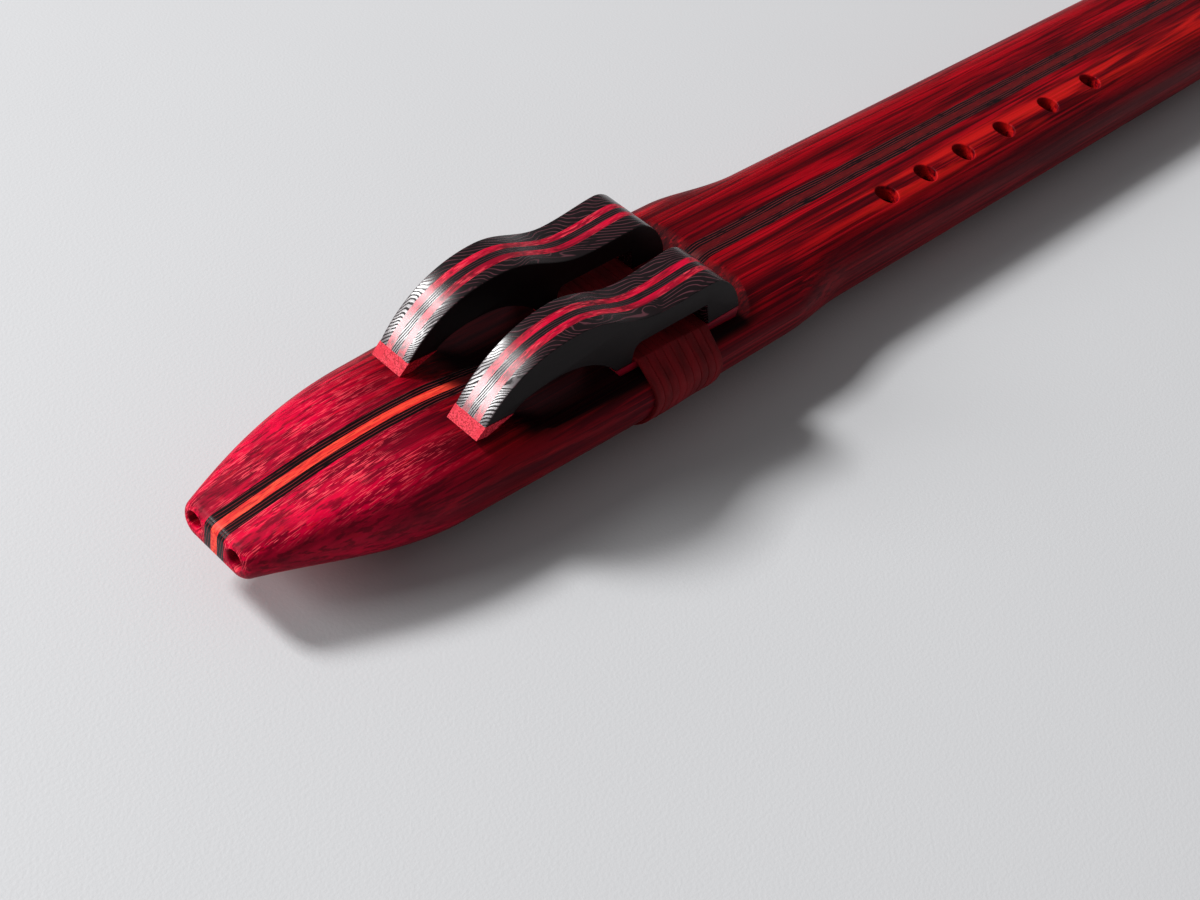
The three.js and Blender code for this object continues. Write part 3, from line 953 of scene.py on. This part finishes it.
# %% Outline of the birds
sole_thickness = 0.0032
sole_tail_thickness = 0.0044
sole_front_lean = 0.0025
slide_range = 0.001
toe_foot_length = 0.0045
toe_height = 0.008
toe_clearance = 0.0001
toe_top_start = 0.003
toe_top_end = 0.014
arch_peak_height = 0.014
arch_thickness = 0.0143
back_thickness = 0.0075
crest_rise = 0.0017
window_height = 0.0077
window_rise = 0.0016
window_lean = 0.0029
window_corner = 0.003
window_length = 0.0345
curve_steps = 26
corner_steps = 6

arch_peak_share = 0.292
arch_foot_share = 0.505
back_peak_share = 0.345
saddle_share = 0.646
crest_share = 0.85
window_start_share = 0.566
front_handles = ((0.2, 0.62), (0.53, 1))
saddle_handles = ((0.35, 0), (0.62, 1))
crest_handles = ((0.4, 0), (0.72, 1))
tail_handles = ((0.42, 0), (0.91, 0.55))
arch_back_handles = ((0.19, 0.45), (0.56, 1))
arch_front_handles = ((0.42, 0), (0.92, 0.42))

back_height = arch_peak_height + arch_thickness
window_low_top = sole_thickness + window_height
window_high_top = window_low_top + window_rise
window_start = bird_length * window_start_share
window_end = window_start + window_length
saddle_height = window_high_top + back_thickness
crest_height = saddle_height + crest_rise
arch_foot = bird_length * arch_foot_share


def curve_between(start, end, shares):
    """Points of a Bezier curve after its start, with handles as shares of its span"""
    handles = [[start[i] + share[i] * (end[i] - start[i]) for i in (0, 1)] for share in shares]
    points = []
    for step in range(1, curve_steps + 1):
        t = step / curve_steps
        weights = ((1 - t) ** 3, 3 * t * (1 - t) ** 2, 3 * t * t * (1 - t), t**3)
        spots = (start, *handles, end)
        points.append(tuple(sum(w * s[i] for w, s in zip(weights, spots)) for i in (0, 1)))
    return points


def layer_outline():
    """Side outline of a bird over its sole and toe: u along the bird, h over the nest's floor"""
    toe_start = (toe_top_start, toe_height)
    peak = (bird_length * back_peak_share, back_height)
    saddle = (bird_length * saddle_share, saddle_height)
    crest = (bird_length * crest_share, crest_height)
    tail = (bird_length, sole_tail_thickness)
    arch_peak = (bird_length * arch_peak_share, arch_peak_height)
    points = [toe_start]
    points += curve_between(toe_start, peak, front_handles)
    points += curve_between(peak, saddle, saddle_handles)
    points += curve_between(saddle, crest, crest_handles)
    points += curve_between(crest, tail, tail_handles)
    points += [(window_end, sole_thickness), (window_end - window_lean, window_high_top)]
    points += [(window_start + window_corner, window_low_top)]
    for step in range(1, corner_steps + 1):
        angle = quarter_turn * step / corner_steps
        along = window_start + window_corner * (1 - math.sin(angle))
        points.append((along, window_low_top - window_corner * (1 - math.cos(angle))))
    points += [(window_start, sole_thickness), (arch_foot, sole_thickness)]
    points += curve_between((arch_foot, sole_thickness), arch_peak, arch_back_handles)
    points += curve_between(arch_peak, (toe_top_end, toe_height), arch_front_handles)
    return points


def toe_lift(u):
    """Height of the toe's underside, which clears the front ramp when the bird slides forward"""
    return nest_level(bird_start + u - slide_range) + toe_clearance - nest_floor


sole_outline = [(arch_foot + sole_front_lean, 0), (bird_length, 0), (bird_length, sole_tail_thickness)]
sole_outline += [(window_end, sole_thickness), (arch_foot, sole_thickness)]
toe_outline = [(0, toe_lift(0)), (toe_foot_length, toe_lift(toe_foot_length))]
toe_outline += [(toe_top_end, toe_height), (toe_top_start, toe_height)]
print("bird outline:", len(layer_outline()), "points")

# %% [markdown]
# The layers of a bird share one outline and differ in thickness and place across the bird.
# One helper makes each of them between two faces, straight or tapered. The long edges of the
# cheeks are rounded by hand on the real bird, and a small bevel does that here. The cheeks'
# flat sides keep a duller sawn finish.

# %% Make the pieces of a bird
bird_toe_half_width = 0.0064
bird_tail_half_width = 0.0109
core_face = core_high.y - pipe_y
red_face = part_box("drone_bird_outer_red")[1].y - pipe_y
extrude_start = 0.001
edge_round = 0.0004
edge_segments = 3
flat_side_facing = 0.95
same_place = 0.00001


def bird_half_width(u):
    """Half the width of a bird, which tapers towards its toe"""
    return bird_toe_half_width + (bird_tail_half_width - bird_toe_half_width) * u / bird_length


def slab(name, outline, near, far_side):
    """A closed slab with a side outline, between two faces whose y may depend on u"""
    bpy.ops.object.select_all(action="DESELECT")
    bpy.ops.mesh.primitive_circle_add(vertices=len(outline), radius=1, fill_type="NGON")
    piece = bpy.context.object
    piece.name = name
    for vertex, (u, h) in zip(piece.data.vertices, outline):
        vertex.co = (mouth_x + bird_start + u, near(u), underside + nest_floor + h)
    bpy.ops.object.mode_set(mode="EDIT")
    bpy.ops.mesh.select_all(action="SELECT")
    bpy.ops.mesh.extrude_region_move(TRANSFORM_OT_translate={"value": (0, extrude_start, 0)})
    bpy.ops.object.mode_set(mode="OBJECT")
    for vertex in piece.data.vertices:
        if vertex.select:
            vertex.co.y = far_side(vertex.co.x - mouth_x - bird_start)
    bpy.ops.object.mode_set(mode="EDIT")
    bpy.ops.mesh.select_all(action="SELECT")
    bpy.ops.mesh.normals_make_consistent(inside=False)
    bpy.ops.object.mode_set(mode="OBJECT")
    return piece


def dull_sides(piece):
    """Gives the flat sides of a cheek the sawn finish"""
    piece.data.materials.append(sawn_wenge)
    for face in piece.data.polygons:
        if abs(face.normal.y) > flat_side_facing:
            face.material_index = 1


def ease_edges(piece, wanted):
    """Bevels each edge whose two ends are both wanted"""
    select_only(piece)
    bpy.ops.object.mode_set(mode="EDIT")
    bpy.ops.mesh.select_mode(type="EDGE")
    bpy.ops.mesh.select_all(action="DESELECT")
    bpy.ops.object.mode_set(mode="OBJECT")
    spots = [vertex.co for vertex in piece.data.vertices]
    for edge in piece.data.edges:
        edge.select = all(wanted(spots[index]) for index in edge.vertices)
    bpy.ops.object.mode_set(mode="EDIT")
    bpy.ops.mesh.bevel(offset=edge_round, segments=edge_segments, affect="EDGES", clamp_overlap=True)
    bpy.ops.object.mode_set(mode="OBJECT")


def on_outside(spot, middle_y):
    """True for a point on the tapered outer face of a bird"""
    width = bird_half_width(spot.x - mouth_x - bird_start)
    return abs(abs(spot.y - middle_y) - width) < same_place


def bird_pieces(bird, hand):
    """The seven pieces of one bird. Hand is 1 for the drone's and -1 for the melody's"""
    middle = hand * pipe_y
    outline = layer_outline()

    def level(offset):
        """A flat face between two layers"""
        return lambda u: middle + hand * offset

    def edge(side):
        """A tapered outer face, on the inner side for -1 and the outer side for 1"""
        return lambda u: middle + hand * side * bird_half_width(u)

    layers = (
        ("inner_cheek", edge(-1), level(-red_face), "wenge", cheek_wenge),
        ("inner_red", level(-red_face), level(-core_face), "crimson_wood", bird_red_wood),
        ("core", level(-core_face), level(core_face), "wenge", core_wenge),
        ("outer_red", level(core_face), level(red_face), "crimson_wood", bird_red_wood),
        ("outer_cheek", level(red_face), edge(1), "wenge", cheek_wenge),
    )
    for part, near, far_side, slot, material in layers:
        piece = slab(f"{bird}_{part}_wood", outline, near, far_side)
        if "cheek" in part:
            ease_edges(piece, lambda spot: on_outside(spot, middle))
        finished(piece, bird, f"{bird}_{part}", material)
        if "cheek" in part:
            dull_sides(piece)
    feet = (("sole", sole_outline, bird_red_wood), ("toe", toe_outline, toe_red_wood))
    for part, part_outline, material in feet:
        piece = slab(f"{bird}_{part}_wood", part_outline, edge(-1), edge(1))
        finished(piece, bird, f"{bird}_{part}", material)


for bird, hand in (("drone_bird", 1), ("melody_bird", -1)):
    bird_pieces(bird, hand)

# %% [markdown]
# The thong is one flat strip of leather, wound nine times round the body and over the
# soles of both birds, inside their windows. It follows the outermost point of the wood in
# each direction. It could be a curve with a bevel, but a flat strip would twist, so its
# rings are placed one by one, each a rounded rectangle pressed against the wood. Under the
# body the strip is drawn thicker, so that the flute rests on its turns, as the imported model
# does, and a little unevenness makes the winding look done by hand.

# %% Sizes of the thong
tie_turns = 9
tie_pitch = 0.0035
tie_middle = bird_start + window_start + window_length / 2
tie_steps = 72
thong_width = 0.00344
thong_thickness = 0.0013
thong_corner = 0.0003
thong_corner_points = 4
thickness_under = 0.0033
under_from = 0.9
under_fade = 0.1
slow_sway = 0.00005
slow_sway_pace = 7.3
sway_lead = 1.1
fast_sway = 0.00003
fast_sway_pace = 17.9
unevenness = 0.0001
unevenness_pace = 11.7


def girth_point(x, across, up):
    """The outermost point of body and soles in one direction, square to the thong"""
    top, bottom, half_width, widest, side = section_sizes(x)
    hand = 1 if across > 0 else -1
    height = top - widest if up > 0 else widest - bottom
    spread = math.hypot(side * across, height * up)
    flat = half_width - side
    skin = (hand * flat + side * side * across / spread, widest + height * height * up / spread)
    rise_share = (nest_floor - widest) / (top - widest)
    if skin[1] > nest_floor:
        skin = (hand * (flat + side * math.sqrt(1 - rise_share**2)), nest_floor)
    sole = (hand * (pipe_y + bird_half_width(x - bird_start)), nest_floor + sole_thickness)
    sole_reach = sole[0] * across + sole[1] * up
    skin_reach = skin[0] * across + skin[1] * up
    return sole if sole_reach > skin_reach else skin


def thong_section():
    """Points round the thong's section: offset along the body, and share of its thickness"""
    half = thong_width / 2 - thong_corner
    points = []
    for corner in range(4):
        side = half if corner in (0, 3) else -half
        corner_share = thong_corner / thong_thickness
        level = 1 - corner_share if corner < 2 else corner_share
        for step in range(thong_corner_points):
            angle = quarter_turn * (corner + step / (thong_corner_points - 1))
            along = side + thong_corner * math.cos(angle)
            points.append((along, level + corner_share * math.sin(angle)))
    return points


# %% Wind the thong
def thong_rings():
    """The thong's rings along its whole path"""
    section = thong_section()
    start = tie_middle - tie_turns * tie_pitch / 2
    rings = []
    for step in range(tie_turns * tie_steps + 1):
        turn = step / tie_steps
        angle = 2 * math.pi * turn - quarter_turn
        across, up = math.cos(angle), math.sin(angle)
        sway = slow_sway * math.sin(slow_sway_pace * turn + sway_lead)
        sway += fast_sway * math.sin(fast_sway_pace * turn)
        x = start + tie_pitch * turn + sway
        y, z = girth_point(x, across, up)
        under = smooth_share(-up, under_from, under_fade)
        uneven = unevenness * math.sin(unevenness_pace * turn) * (1 - under)
        thickness = thong_thickness + uneven + (thickness_under - thong_thickness) * under
        ring = []
        for along, level in section:
            lift = level * thickness
            ring.append(Vector((mouth_x + x + along, y + lift * across, underside + z + lift * up)))
        rings.append(ring)
    return rings


thong = rolled_solid("leather_thong", thong_rings())
finished(thong, "flute_body", "leather_tie", thong_leather, smooth_degrees=50)
print("thong:", len(thong.data.polygons), "faces")
